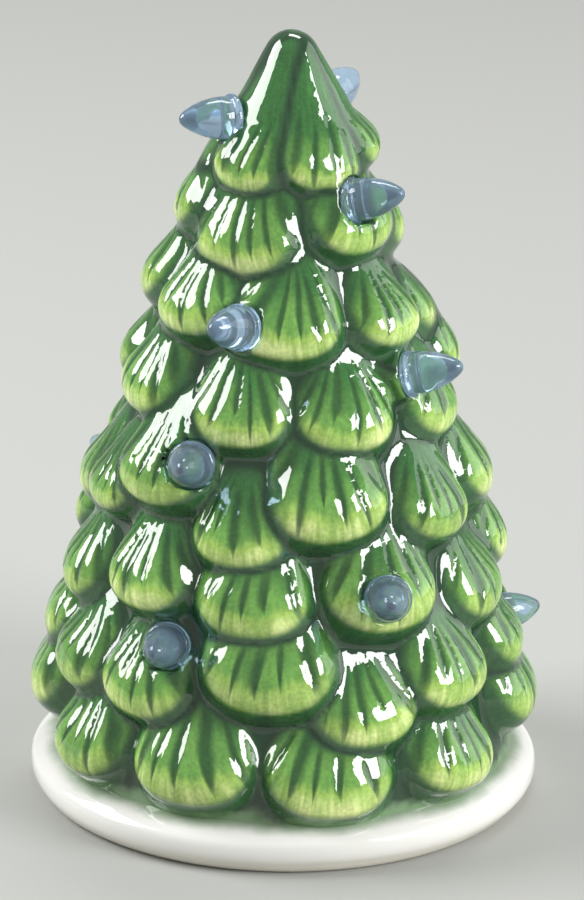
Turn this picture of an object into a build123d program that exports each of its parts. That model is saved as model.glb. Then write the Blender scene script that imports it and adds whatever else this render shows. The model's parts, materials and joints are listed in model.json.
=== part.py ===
"""Glazed ceramic tabletop tree with push-in light pegs and a battery light unit in its base.

Millimetres. The origin is the centre of the foot ring, +Z is up and the front faces -Y.
Angles round the tree are degrees from the front, positive towards +X.
"""

import os
from math import acos, atan2, cos, degrees, hypot, radians, sin

from build123d import *

os.makedirs("parts", exist_ok=True)

# Tree casting
tree_height = 165.0
apex_radius = 6.5
skirt_height = 10.5
skirt_setback = 8.5
core_bulge_angle = 14.0
wall_thickness = 4.5
crown_thickness = 9.0
cavity_apex_radius = 2.5

# Snow base, with setbacks from its rim
rim_radius = 54.0
rim_height = 6.0
foot_setback = 2.8
shoulder_setback = 3.5
shoulder_height = 9.5

# Boughs: round-ended fingers that hang out and down from the core
bough_width = 20.0
bough_length = 30.0
back_lift_share = 0.06

# Each tier from the cap down: height as a share of the tree, reach of its tips as a share of
# the rim radius, bough width and length as shares of the sizes above, droop in degrees, then its
# front boughs, each with its angle, and its lift and breadth as shares of the tier's bough width
tier_shares = (
    (
        *(0.855, 0.340, 0.75, 1.13, 62),
        ((-97, -0.25, 0.9), (-33, -0.1, 0.9), (25, -0.04, 0.96), (88, 0.08, 1.0)),
    ),
    (
        *(0.763, 0.432, 0.94, 1.0, 52),
        ((-98, 0.1, 1.0), (-30, -0.1, 1.1), (45, -0.05, 1.02), (100, -0.1, 1.0)),
    ),
    (
        *(0.655, 0.565, 0.96, 1.0, 52),
        ((-102, 0.15, 1.0), (-48, 0.1, 1.0), (0, 0.0, 1.08), (51, -0.12, 0.93), (101, -0.2, 1.0)),
    ),
    (
        *(0.552, 0.668, 0.97, 1.0, 52),
        (
            *((-112, 0.1, 1.0), (-63, 0.09, 1.0), (-18, -0.03, 1.0)),
            *((23, -0.08, 1.02), (70, -0.15, 1.0), (104, 0.2, 0.95)),
        ),
    ),
    (
        *(0.433, 0.795, 1.0, 1.0, 52),
        (
            *((-88, -0.09, 1.0), (-43, 0.3, 1.05), (-14, -0.19, 0.93)),
            *((14, 0.1, 1.16), (53, -0.1, 0.95), (91, -0.06, 1.0)),
        ),
    ),
    (
        *(0.330, 0.868, 1.03, 1.0, 52),
        (
            *((-79, -0.17, 1.0), (-42, 0.08, 0.95), (-9, -0.02, 1.07)),
            *((29, 0.0, 1.17), (70, -0.24, 1.0), (99, 0.0, 1.0)),
        ),
    ),
    (
        *(0.220, 0.935, 1.0, 1.0, 52),
        (
            *((-94, 0.0, 1.0), (-66, -0.09, 1.0), (-39, -0.09, 1.03), (-4, 0.16, 1.3)),
            *((22, -0.26, 1.06), (49, -0.05, 1.05), (83, -0.06, 1.0)),
        ),
    ),
    (
        *(0.107, 0.99, 1.1, 1.0, 52),
        (
            *((-92, 0.3, 1.0), (-56, 0.02, 0.95), (-23, 0.06, 1.13)),
            *((12, 0.0, 1.15), (47, 0.0, 1.0), (86, 0.22, 1.0)),
        ),
    ),
)

# Light pegs
peg_flange_radius = 4.9
peg_flange_thickness = 1.5
peg_bulb_radius = 4.4
peg_bulb_length = 10.8
peg_stem_radius = 1.5
peg_stem_length = 7.0
peg_stem_chamfer = 0.4
peg_bore_radius = 0.8
peg_bore_depth = 3.0
peg_hole_clearance = 0.2
peg_seat_gap = 0.05
peg_seat_depth = 0.8
peg_seat_margin = 0.7

# The bulb's taper: height as a share of the bulb's length, radius as a share of the bulb's radius
bulb_shares = ((0.0, 1.0), (0.34, 0.93), (0.64, 0.72), (0.88, 0.4), (1.0, 0.14))

# Each peg's hole, from the top down: its angle and its height as a share of the tree where it
# leaves the core, then the angle that the peg aims at and how far it tips up
peg_hole_shares = (
    (-70, 0.893, -66, 4),
    (150, 0.885, 150, 12),
    (31, 0.797, 66, 15),
    (208, 0.800, 208, 12),
    (143, 0.710, 143, 12),
    (-16, 0.652, -30, 14),
    (196, 0.620, 196, 12),
    (43, 0.578, 72, 15),
    (-40, 0.479, -8, 15),
    (150, 0.500, 150, 12),
    (-124, 0.375, -130, 8),
    (214, 0.430, 214, 12),
    (37, 0.322, 2, 15),
    (165, 0.345, 165, 12),
    (-37, 0.257, -12, 14),
    (100, 0.203, 105, 8),
)

# Light unit in the bottom recess
recess_setback = 16.0
lip_reach = 4.0
lip_thickness = 3.5
plug_recess = 1.5
plug_thickness = 2.5
plug_clearance = 0.3
hub_radius = 19.0
roof_thickness = 1.6
stake_radius = 1.2
stake_spread = 10.0
stake_head = 0.8
stake_clearance = 0.15

# Coin cells and their contacts
cell_radius = 10.0
cell_thickness = 3.2
cell_rim = 0.4
cell_clearance = 0.3
contact_rise = 1.2
contact_radius = 4.0
contact_shank_radius = 0.8
contact_shank_clearance = 0.05
clip_width = 4.0
clip_thickness = 0.4
clip_depth = 1.2
clip_side_clearance = 0.2

# Battery cap
cap_radius = 13.0
cap_thickness = 3.4
cap_gap = 0.3
cap_rub_gap = 0.1
cap_lug_reach = 1.7
cap_lug_width = 6.0
cap_lug_thickness = 1.2
cap_lug_rise = 1.4
cap_lug_count = 3
cap_turn_angle = 60.0
cap_slot_length = 15.0
cap_slot_width = 2.0
cap_slot_depth = 1.2

# Circuit board and lamp
board_radius = 15.0
board_thickness = 1.6
led_radius = 2.5
led_flange_radius = 2.9
led_flange_thickness = 1.0
led_body_length = 5.8
led_lead_radius = 0.25
led_lead_pitch = 2.54
led_lead_clearance = 0.1

# Slide switch and its leads
switch_length = 9.0
switch_width = 5.0
switch_height = 4.0
switch_wall = 0.7
switch_travel = 2.5
switch_gap = 0.3
slider_length = 4.0
slider_thickness = 1.4
knob_length = 2.0
knob_width = 1.8
knob_reach = 0.9
terminal_width = 1.0
terminal_thickness = 0.5
terminal_height = 2.0
terminal_pitch = 4.0
lead_radius = 0.6
lead_rise = 9.0
lead_bend_radius = 3.0
lead_landing = 12.0

# Radii and levels that the pieces share
skirt_radius = rim_radius - skirt_setback
shoulder_radius = rim_radius - shoulder_setback
foot_radius = rim_radius - foot_setback
recess_radius = rim_radius - recess_setback
lip_radius = recess_radius - lip_reach
switch_offset = (hub_radius + lip_radius) / 2
recess_depth = plug_recess + plug_thickness
lip_top = recess_depth + lip_thickness
cap_top = plug_recess + cap_thickness
pocket_floor = cap_top + cap_gap
cell_bottom = cap_top + cap_rub_gap
cells_top = cell_bottom + 2 * cell_thickness
roof_bottom = cells_top + contact_rise
board_bottom = roof_bottom + roof_thickness
board_top = board_bottom + board_thickness
pocket_radius = cell_radius + cell_clearance


def around(angle, radius, height):
    """Point at an angle from the front, a radius and a height."""
    return Vector(radius * sin(radians(angle)), -radius * cos(radians(angle)), height)


def aimed(angle, pitch):
    """Unit direction that points out at an angle from the front and tips up by a pitch."""
    level = around(angle, cos(radians(pitch)), 0)
    return level + Vector(0, 0, sin(radians(pitch)))


def lathe_plane(origin, axis, start):
    """Sketch plane with its Y along an axis and its X square to it, on the side of start."""
    across = (start - axis * start.dot(axis)).normalized()
    return Plane(origin=origin, x_dir=across, z_dir=across.cross(axis))


def dome_start(skirt, top, radius):
    """Angle, in degrees, at which a line from the skirt point meets the top dome squarely."""
    fall = top - radius - skirt[1]
    return degrees(acos(radius / hypot(skirt[0], fall)) - atan2(fall, skirt[0]))


def cone_lines(skirt, top, radius):
    """Line from a skirt point up to a tangent dome and over to the axis."""
    start = dome_start(skirt, top, radius)
    dome = CenterArc((0, top - radius), radius, start, 90 - start)
    Line(skirt, dome @ 0)


def cone_radius(height):
    """Radius, at a height, of the plain cone that the peg holes are measured on."""
    start = radians(dome_start((skirt_radius, skirt_height), tree_height, apex_radius))
    return skirt_radius - (height - skirt_height) * sin(start) / cos(start)


def tier_boughs(front):
    """All boughs of a tier: the front ones, then the back ones spaced evenly between them."""
    first, last = front[0][0], front[-1][0]
    pitch = (last - first) / (len(front) - 1)
    gap = 360 + first - last
    count = round(gap / pitch)
    back = []
    for i in range(1, count):
        back.append((last + i * gap / count, back_lift_share * (-1) ** i, 1.0))
    return [*front, *back]


def bough(height, reach, width, length, droop, angle):
    """One bough: a round-ended finger that hangs out and down, its root deep in the core."""
    radius = width / 2
    root = radius - length
    centre = around(angle, reach - radius, height)
    axis = aimed(angle, -droop)
    with BuildPart() as finger:
        with BuildSketch(lathe_plane(centre, axis, Vector(0, 0, -1))):
            with BuildLine():
                end = CenterArc((0, 0), radius, 0, 90)
                Polyline(end @ 0, (radius, root), (0, root), end @ 1)
            make_face()
        revolve(axis=Axis(centre, axis))
    return finger.part


# Boughs, tier by tier
tiers = []
for height_share, reach_share, width_share, length_share, droop, front_boughs in tier_shares:
    tier_width = bough_width * width_share
    tier = []
    for bough_angle, lift_share, breadth_share in tier_boughs(front_boughs):
        height = tree_height * height_share + tier_width * lift_share
        width = tier_width * breadth_share
        length = bough_length * length_share * width / bough_width
        tier.append(bough(height, rim_radius * reach_share, width, length, droop, bough_angle))
    tiers.append(tier)

# Solid form of the casting: snow base, core and boughs
with BuildPart() as casting:
    with BuildSketch(Plane.XZ):
        with BuildLine():
            skirt = (skirt_radius, skirt_height)
            shoulder = (shoulder_radius, shoulder_height)
            dome_turn = dome_start(skirt, tree_height, apex_radius) + core_bulge_angle
            dome = CenterArc((0, tree_height - apex_radius), apex_radius, dome_turn, 90 - dome_turn)
            TangentArc(dome @ 0, skirt, tangent=dome % 0 * -1)
            Line(skirt, shoulder)
            ThreePointArc(shoulder, (rim_radius, rim_height), (foot_radius, 0))
            Polyline((foot_radius, 0), (0, 0), (0, tree_height))
        make_face()
    revolve(axis=Axis.Z)
    for tier in tiers:
        add(tier, clean=False)

# Seats of the pegs on the finished surface: each a plane square to its peg
surface = casting.part.solid().shells()[0]
peg_seats = []
for hole_angle, hole_height_share, aim_angle, aim_pitch in peg_hole_shares:
    hole_height = tree_height * hole_height_share
    root = around(hole_angle, cone_radius(hole_height), hole_height)
    direction = aimed(aim_angle, aim_pitch)
    crossings = surface.find_intersection_points(Axis(root, direction))
    outermost = max((point - root).dot(direction) for point, _ in crossings)
    seat = root + direction * (outermost - peg_seat_depth)
    peg_seats.append((seat, direction))


def peg_cut(seat, direction):
    """What a peg's place takes out of the casting: a flat seat and a hole through to the cavity."""
    seat_plane = Plane(origin=seat, z_dir=direction)
    with BuildPart() as cut:
        with BuildSketch(seat_plane):
            Circle(peg_flange_radius + peg_seat_margin)
        extrude(amount=peg_bulb_length + peg_stem_length)
        with BuildSketch(seat_plane):
            Circle(peg_stem_radius + peg_hole_clearance)
        extrude(amount=-hypot(seat.X, seat.Y))
    return cut.part


peg_cuts = [peg_cut(seat, direction) for seat, direction in peg_seats]

# Hollow casting with its peg holes, bottom recess and lip
with BuildPart() as tree_shell:
    add(casting.part)
    with BuildSketch(Plane.XZ):
        with BuildLine():
            inner_skirt = (skirt_radius - wall_thickness, skirt_height + wall_thickness)
            cavity_top = tree_height - crown_thickness
            cone_lines(inner_skirt, cavity_top, cavity_apex_radius)
            Polyline(inner_skirt, (lip_radius, lip_top), (lip_radius, recess_depth))
            Polyline((lip_radius, recess_depth), (recess_radius, recess_depth), (recess_radius, 0))
            Polyline((recess_radius, 0), (0, 0), (0, cavity_top))
        make_face()
    revolve(axis=Axis.Z, clean=False, mode=Mode.SUBTRACT)
    add(peg_cuts, clean=False, mode=Mode.SUBTRACT)
tree_shell.part.label = "tree_shell"
export_step(tree_shell.part, "parts/tree_shell.step")


def light_peg(seat, direction):
    """Clear bullet-nosed peg: stem, flange and tapered bulb, with a blind bore up the stem."""
    base = seat + direction * peg_seat_gap
    profile = lathe_plane(base, direction, Vector(0, 0, 1))
    bulb = []
    for rise_share, radius_share in bulb_shares:
        bulb.append((peg_bulb_radius * radius_share, peg_flange_thickness + peg_bulb_length * rise_share))
    with BuildPart() as peg:
        with BuildSketch(profile):
            with BuildLine():
                Polyline(
                    *bulb,
                    (0, peg_flange_thickness + peg_bulb_length),
                    (0, peg_bore_depth),
                    (peg_bore_radius, peg_bore_depth),
                    (peg_bore_radius, -peg_stem_length),
                    (peg_stem_radius - peg_stem_chamfer, -peg_stem_length),
                    (peg_stem_radius, peg_stem_chamfer - peg_stem_length),
                    (peg_stem_radius, 0),
                    (peg_flange_radius, 0),
                    (peg_flange_radius, peg_flange_thickness),
                    close=True,
                )
            make_face()
        revolve(axis=Axis(base, direction))
    return peg.part


for i, (seat, direction) in enumerate(peg_seats, start=1):
    peg_part = light_peg(seat, direction)
    peg_part.label = f"light_peg_{i:02d}"
    export_step(peg_part, f"parts/light_peg_{i:02d}.step")

# Plastic plug: flange against the lip, hub with the cell pocket, bayonet groove and switch slot
lug_radius = cap_radius + cap_lug_reach
groove_radius = lug_radius + cap_gap
groove_bottom = plug_recess + cap_lug_rise - cap_gap
groove_height = cap_lug_thickness + 2 * cap_gap
with BuildPart() as light_plug:
    with BuildSketch(Plane.XY.offset(plug_recess)):
        Circle(recess_radius - plug_clearance)
    extrude(amount=plug_thickness)
    with BuildSketch(Plane.XY.offset(recess_depth)):
        Circle(hub_radius)
    extrude(amount=board_bottom - recess_depth)
    with BuildSketch(Plane.XY.offset(board_bottom)):
        with Locations((0, stake_spread), (0, -stake_spread)):
            Circle(stake_radius)
    extrude(amount=board_thickness + stake_head)
    with BuildSketch(Plane.XY.offset(plug_recess)):
        Circle(cap_radius + cap_gap)
    extrude(amount=pocket_floor - plug_recess, mode=Mode.SUBTRACT)
    with BuildSketch(Plane.XY.offset(groove_bottom)):
        Circle(groove_radius)
    extrude(amount=groove_height, mode=Mode.SUBTRACT)
    with BuildSketch(Plane.XY.offset(plug_recess)):
        with PolarLocations(cap_radius, cap_lug_count, start_angle=cap_turn_angle):
            Rectangle(2 * cap_radius, cap_lug_width + 2 * cap_gap)
        Circle(groove_radius, mode=Mode.INTERSECT)
    extrude(amount=groove_bottom - plug_recess, mode=Mode.SUBTRACT)
    with BuildSketch(Plane.XY.offset(pocket_floor)):
        Circle(pocket_radius)
        with Locations((pocket_radius, 0)):
            Rectangle(2 * clip_depth, clip_width + 2 * clip_side_clearance)
    extrude(amount=roof_bottom - pocket_floor, mode=Mode.SUBTRACT)
    with BuildSketch(Plane.XY.offset(roof_bottom)):
        Circle(contact_shank_radius + contact_shank_clearance)
    extrude(amount=roof_thickness, mode=Mode.SUBTRACT)
    with BuildSketch(Plane.XY.offset(plug_recess)):
        with Locations((0, switch_offset)):
            Rectangle(knob_length + switch_travel + 2 * switch_gap, knob_width + 2 * switch_gap)
    extrude(amount=plug_thickness, mode=Mode.SUBTRACT)
light_plug.part.label = "light_plug"
export_step(light_plug.part, "parts/light_plug.step")

# Battery cap with three bayonet lugs and a coin slot
with BuildPart() as battery_cap:
    with BuildSketch(Plane.XY.offset(plug_recess)):
        Circle(cap_radius)
    extrude(amount=cap_thickness)
    with BuildSketch(Plane.XY.offset(plug_recess + cap_lug_rise)):
        with PolarLocations(cap_radius, cap_lug_count):
            Rectangle(2 * cap_lug_reach, cap_lug_width)
        Circle(lug_radius, mode=Mode.INTERSECT)
    extrude(amount=cap_lug_thickness)
    with BuildSketch(Plane.XY.offset(plug_recess)):
        SlotOverall(cap_slot_length, cap_slot_width)
    extrude(amount=cap_slot_depth, mode=Mode.SUBTRACT)
battery_cap.part.label = "battery_cap"
export_step(battery_cap.part, "parts/battery_cap.step")

# Two coin cells, each a crimped can with its narrower negative lid on top
for name, bottom in (("coin_cell_lower", cell_bottom), ("coin_cell_upper", cell_bottom + cell_thickness)):
    with BuildPart() as coin_cell:
        with BuildSketch(Plane.XY.offset(bottom)):
            Circle(cell_radius)
        extrude(amount=cell_thickness - cell_rim)
        with BuildSketch(Plane.XY.offset(bottom + cell_thickness - cell_rim)):
            Circle(cell_radius - cell_rim)
        extrude(amount=cell_rim)
    coin_cell.part.label = name
    export_step(coin_cell.part, f"parts/{name}.step")

# Centre contact: a domed rivet through the pocket roof
with BuildPart() as contact_rivet:
    with BuildSketch(Plane.XZ):
        with BuildLine():
            Polyline(
                (0, cells_top),
                (0, board_bottom),
                (contact_shank_radius, board_bottom),
                (contact_shank_radius, roof_bottom),
                (contact_radius, roof_bottom),
            )
            TangentArc((0, cells_top), (contact_radius, roof_bottom), tangent=(1, 0))
        make_face()
    revolve(axis=Axis.Z)
contact_rivet.part.label = "contact_rivet"
export_step(contact_rivet.part, "parts/contact_rivet.step")

# Side contact: a sheet strip in the pocket's slot, bowed in to the rims of the cells
with BuildPart() as contact_clip:
    with BuildSketch(Plane.XZ.offset(-clip_width / 2)):
        with BuildLine():
            back = pocket_radius + clip_depth - clip_thickness / 2
            touch = cell_radius + clip_thickness
            bow = (cells_top - cell_bottom) / 4
            middle = (cells_top + cell_bottom) / 2
            Polyline(
                (back, roof_bottom),
                (back, middle + bow),
                (touch, middle + cell_rim),
                (touch, middle - cell_rim),
                (back, middle - bow),
                (back, pocket_floor),
            )
        trace(line_width=clip_thickness)
    extrude(amount=clip_width)
contact_clip.part.label = "contact_clip"
export_step(contact_clip.part, "parts/contact_clip.step")

# Circuit board on the pocket roof, held by the plug's two stakes
lead_places = [(-led_lead_pitch / 2, 0), (led_lead_pitch / 2, 0)]
with BuildPart() as circuit_board:
    with BuildSketch(Plane.XY.offset(board_bottom)):
        Circle(board_radius)
        with Locations((0, stake_spread), (0, -stake_spread)):
            Circle(stake_radius + stake_clearance, mode=Mode.SUBTRACT)
        with Locations(*lead_places):
            Circle(led_lead_radius + led_lead_clearance, mode=Mode.SUBTRACT)
    extrude(amount=board_thickness)
circuit_board.part.label = "circuit_board"
export_step(circuit_board.part, "parts/circuit_board.step")

# Round-nosed lamp with its flange and two leads through the board
with BuildPart() as led:
    with BuildSketch(Plane.XZ):
        with BuildLine():
            dome_bottom = board_top + led_body_length
            dome = CenterArc((0, dome_bottom), led_radius, 0, 90)
            Polyline(
                dome @ 1,
                (0, board_top),
                (led_flange_radius, board_top),
                (led_flange_radius, board_top + led_flange_thickness),
                (led_radius, board_top + led_flange_thickness),
                dome @ 0,
            )
        make_face()
    revolve(axis=Axis.Z)
    with BuildSketch(Plane.XY.offset(board_top)):
        with Locations(*lead_places):
            Circle(led_lead_radius)
    extrude(amount=-board_thickness)
led.part.label = "led"
export_step(led.part, "parts/led.step")

# Slide switch case, open below, with two terminals on top
terminal_places = [(-terminal_pitch / 2, switch_offset), (terminal_pitch / 2, switch_offset)]
switch_top = recess_depth + switch_height
with BuildPart() as switch_body:
    with BuildSketch(Plane.XY.offset(recess_depth)):
        with Locations((0, switch_offset)):
            Rectangle(switch_length, switch_width)
    extrude(amount=switch_height)
    with BuildSketch(Plane.XY.offset(recess_depth)):
        with Locations((0, switch_offset)):
            Rectangle(switch_length - 2 * switch_wall, switch_width - 2 * switch_wall)
    extrude(amount=slider_thickness + 2 * switch_gap, mode=Mode.SUBTRACT)
    with BuildSketch(Plane.XY.offset(switch_top)):
        with Locations(*terminal_places):
            Rectangle(terminal_width, terminal_thickness)
    extrude(amount=terminal_height)
switch_body.part.label = "switch_body"
export_step(switch_body.part, "parts/switch_body.step")

# Slider with its knob down through the plug's slot, at the off end of its travel
slider_place = (-switch_travel / 2, switch_offset)
slider_bottom = recess_depth + switch_gap
with BuildPart() as switch_slider:
    with BuildSketch(Plane.XY.offset(slider_bottom)):
        with Locations(slider_place):
            Rectangle(slider_length, switch_width - 2 * switch_wall - 2 * switch_gap)
    extrude(amount=slider_thickness)
    with BuildSketch(Plane.XY.offset(slider_bottom)):
        with Locations(slider_place):
            Rectangle(knob_length, knob_width)
    extrude(amount=plug_recess - knob_reach - slider_bottom)
switch_slider.part.label = "switch_slider"
export_step(switch_slider.part, "parts/switch_slider.step")

# Leads from the switch terminals over to the board
terminal_top = switch_top + terminal_height
with BuildPart() as switch_wires:
    for x, y in terminal_places:
        with BuildLine():
            FilletPolyline(
                (x, y, terminal_top),
                (x, y, terminal_top + lead_rise),
                (x, lead_landing, terminal_top + lead_rise),
                (x, lead_landing, board_top),
                radius=lead_bend_radius,
            )
        with BuildSketch(Plane.XY.offset(terminal_top)):
            with Locations((x, y)):
                Circle(lead_radius)
        sweep()
switch_wires.part.label = "switch_wires"
export_step(switch_wires.part, "parts/switch_wires.step")
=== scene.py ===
"""Glazed ceramic tabletop tree with push-in light pegs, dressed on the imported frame.

Sizes are in millimetres and degrees, as in the part's source, unless their comment says otherwise.
Blender works in metres.
Angles round the tree are degrees from the front, positive towards +X.
"""

import json
import math

import bpy
import numpy as np
from mathutils import Matrix, Vector


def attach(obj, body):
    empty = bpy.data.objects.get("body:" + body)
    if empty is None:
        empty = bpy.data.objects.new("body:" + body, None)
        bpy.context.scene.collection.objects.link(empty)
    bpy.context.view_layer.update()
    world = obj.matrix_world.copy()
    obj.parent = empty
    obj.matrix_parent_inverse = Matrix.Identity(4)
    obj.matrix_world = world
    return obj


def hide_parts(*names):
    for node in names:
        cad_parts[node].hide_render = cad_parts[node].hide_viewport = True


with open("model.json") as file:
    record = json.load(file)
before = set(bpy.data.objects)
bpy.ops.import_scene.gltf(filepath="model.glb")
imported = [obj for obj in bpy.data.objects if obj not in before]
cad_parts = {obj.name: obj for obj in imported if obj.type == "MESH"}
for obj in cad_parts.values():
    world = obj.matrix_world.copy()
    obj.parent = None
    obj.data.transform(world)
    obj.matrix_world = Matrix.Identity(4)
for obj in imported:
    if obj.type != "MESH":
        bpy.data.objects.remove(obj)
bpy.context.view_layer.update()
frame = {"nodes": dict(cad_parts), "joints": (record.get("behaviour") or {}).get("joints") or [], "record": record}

MM = 0.001

# Casting: its outside, then the cone of its hollow inside, whose rings start over the skirt and
# whose tip rises over the crown
TREE_HEIGHT = 165.0
RIM_RADIUS = 54.0
APEX_RADIUS = 6.5
SKIRT_RADIUS = 45.5
SKIRT_HEIGHT = 10.5
WALL = 4.5
CROWN = 9.0
DOME_HEIGHT = TREE_HEIGHT - APEX_RADIUS
CONE_LENGTH = math.hypot(SKIRT_RADIUS, DOME_HEIGHT - SKIRT_HEIGHT)
CONE_ANGLE = math.atan2(SKIRT_RADIUS, DOME_HEIGHT - SKIRT_HEIGHT) - math.asin(APEX_RADIUS / CONE_LENGTH)
HOLLOW_RINGS = 24
HOLLOW_START = 2.0
HOLLOW_TIP = 1.0

# The core's height and radius between the boughs, from the foot up. Its field goes CORE_DEPTH deep
CORE = (
    (9.0, 48.4),
    (18, 46.2),
    (24, 44.8),
    (40, 42),
    (59, 38.3),
    (75, 34.6),
    (95, 28.4),
    (112, 22.8),
    (130, 15.8),
    (158.5, 6.5),
)
CORE_DEPTH = 20.0

# Boughs, close to the part's own. Each tier has its height and reach as shares of the tree's height
# and the rim's radius, its bough width, its boughs' form (droop, how fast they narrow up, root
# length) and how many fill the far side. Then come each front bough's angle, lift and breadth. Far
# boughs are lifted and lowered in turn and fill a share of their spacing, and all boughs settle
BOUGH_WIDTH = 22.0
BACK_LIFT = 0.06
BACK_FILL = 0.86
SETTLE = 1.0
CAP_FORM = (63, 0.17, 2.9)
TIER_FORM = (52, 0.2, 0.95)
UPPER_FORM = (47, 0.22, 0.8)
TIERS = (
    (
        (0.855, 0.340, 0.75, CAP_FORM, 2),
        (
            (-97, -0.25, 0.95),
            (-37, -0.1, 1.0),
            (25, -0.04, 1.02),
            (88, 0.08, 1.0),
        ),
    ),
    (
        (0.763, 0.432, 0.94, TIER_FORM, 1),
        (
            (-98, 0.1, 1.1),
            (-30, -0.1, 1.1),
            (45, 0.05, 1.02),
            (100, -0.1, 1.1),
        ),
    ),
    (
        (0.655, 0.565, 0.96, UPPER_FORM, 2),
        (
            (-102, 0.15, 1.12),
            (-48, 0.1, 1.0),
            (0, 0.0, 1.08),
            (51, -0.02, 0.93),
            (101, -0.2, 1.1),
        ),
    ),
    (
        (0.552, 0.668, 0.97, TIER_FORM, 2),
        (
            (-112, 0.08, 1.1),
            (-63, 0.09, 1.02),
            (-18, -0.03, 1.0),
            (23, -0.08, 1.02),
            (70, -0.15, 1.0),
            (104, 0.2, 1.06),
        ),
    ),
    (
        (0.433, 0.795, 1.0, TIER_FORM, 4),
        (
            (-90, -0.1, 1.0),
            (-66, 0.0, 0.82),
            (-43, 0.3, 1.05),
            (-14, -0.19, 0.93),
            (14, 0.1, 1.16),
            (53, -0.1, 0.95),
            (91, -0.06, 1.1),
        ),
    ),
    (
        (0.330, 0.868, 1.03, TIER_FORM, 4),
        (
            (-79, -0.17, 1.0),
            (-42, 0.08, 0.95),
            (-9, -0.02, 1.07),
            (29, 0.0, 1.17),
            (70, -0.24, 1.0),
            (99, 0.0, 1.1),
        ),
    ),
    (
        (0.220, 0.935, 1.0, TIER_FORM, 5),
        (
            (-94, 0.0, 1.1),
            (-66, -0.09, 1.0),
            (-39, -0.09, 1.03),
            (-4, 0.16, 1.3),
            (22, -0.26, 1.06),
            (49, -0.05, 1.05),
            (83, -0.06, 1.0),
        ),
    ),
    (
        (0.107, 0.99, 1.1, TIER_FORM, 4),
        (
            (-92, 0.22, 1.18),
            (-56, 0.02, 1.0),
            (-23, 0.06, 1.13),
            (12, 0.0, 1.15),
            (47, 0.0, 1.0),
            (86, 0.2, 1.14),
        ),
    ),
)

# No two boughs hang quite alike: the most that one droops and turns away from its tier's way
DROOP_CHANGE = 3.0
YAW_CHANGE = 5.0
CHANCE_SEED = 11

# A bough's form as shares of its half-width: its thickness, how far its blunt tip and its domed top
# reach, how narrow it gets, then how square its plan and its section are, its field's steepness
# and, in millimetres, how far beyond the bough that field is read
FACE_THICKNESS = 0.66
TIP = 0.82
TOP = 0.75
NARROWEST = 0.34
PLAN_POWER = 2.3
PILLOW = 2.4
PILLOW_SLOPE = 0.8
BOUGH_MARGIN = 3.0

# Needle strokes, cut NEEDLE_DEPTH millimetres deep, fan from above a bough's root, a gap apart at its
# lip, in shares of its half-width. Waves of a height and a pace bend them, gather them and make the
# lip uneven
FAN_RISE = 0.6
NEEDLE_GAP = 0.5
NEEDLE_DEPTH = 0.45
BEND_WAVE = (0.12, 2.6)
GATHER_WAVE = (0.22, 1.3)
LIP_WAVE = (0.17, 2.1)
FINE_LIP_WAVE = (0.13, 4.7)

# A stroke's half-width in gaps, and how much that changes from stroke to stroke. The dark glaze in it,
# with painted shade darkest at its middle, is a little wider than the cut, and fades over the shares
# EDGE_OF_STROKE_GLAZE_AND_SHADE of its half-width. The other ranges say where, over the lip, a stroke opens,
# starts, stops and closes
CUT_WIDTH = (0.28, 0.12)
STROKE_GLAZE_AND_SHADE_WIDTH = (0.33, 0.13)
EDGE_OF_STROKE_GLAZE_AND_SHADE = (0.2, 1.1)
HAIRLINE = 0.02
STROKE_PACE = 2.4
BOUGH_PACE = 9.0
STROKE_OPENS = (0.15, 0.7)
STROKE_STARTS = (0.1, 0.4)
STROKE_STOPS = (1.3, 1.9)
STROKE_CLOSES = (1.3, 2.1)

# Where a bough's face and its lower rim begin and are whole, in shares of its half-width. Below the face the glaze
# is painted in shade
FACE_OUT = (0.1, 0.44)
RIM_EDGE = (0.3, 0.85)
RIM_ALONG = (-0.15, 0.55)
RIM_OUT = (-0.25, 0.1)

# Glaze fills the creases between boughs, over a slow unevenness of the casting: waves with a pace
# along x, y and z in radians for each millimetre, and a phase
CREASE_FILL = 0.85
CREASE_REACH = 1.5
NO_NEIGHBOUR = 9.0
RIPPLE = 0.12
RIPPLE_WAVES = (((0.53, 0, 0.31), 1.1), ((0, 0.47, -0.36), 0.4), ((0.29, -0.41, 0.22), 0.0))

# The skin's mesh: its grid, with a margin and a carved layer counted in its steps, how it is drawn
# onto the carved skin, and how softly it is shaded
GRID_STEP = 0.95
GRID_MARGIN = 2
CARVED_REACH = 2.5
SKIN_FLOOR = 9.0
SLOPE_STEP = 0.15
RATE_STEP = 0.05
LEAST_RATE = 0.3
LONGEST_MOVE = 0.4
SHADING_STEP = 0.85
CELL_CORNERS = [(i, j, k) for i in (0, 1) for j in (0, 1) for k in (0, 1)]

# The cap is trimmed to a round-topped cone, which opens out below it
CAP_DOME = 6.0
CAP_ANGLE = math.radians(30)
CAP_FLOOR = 148.0
CAP_FLARE = 0.6

# Light pegs, and the boss, flat seat and hole that the casting has for each
PEG_FLANGE = 1.5
PEG_BULB = 10.8
SEAT_RADIUS = 5.2
SEAT_LENGTH = 15.0
SEAT_MARGIN = 4.0
HOLE_RADIUS = 1.7
HOLE_DEPTH = 7.4
HOLE_OVERRUN = 1.0
BOSS_LENGTH = 7.0

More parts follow.
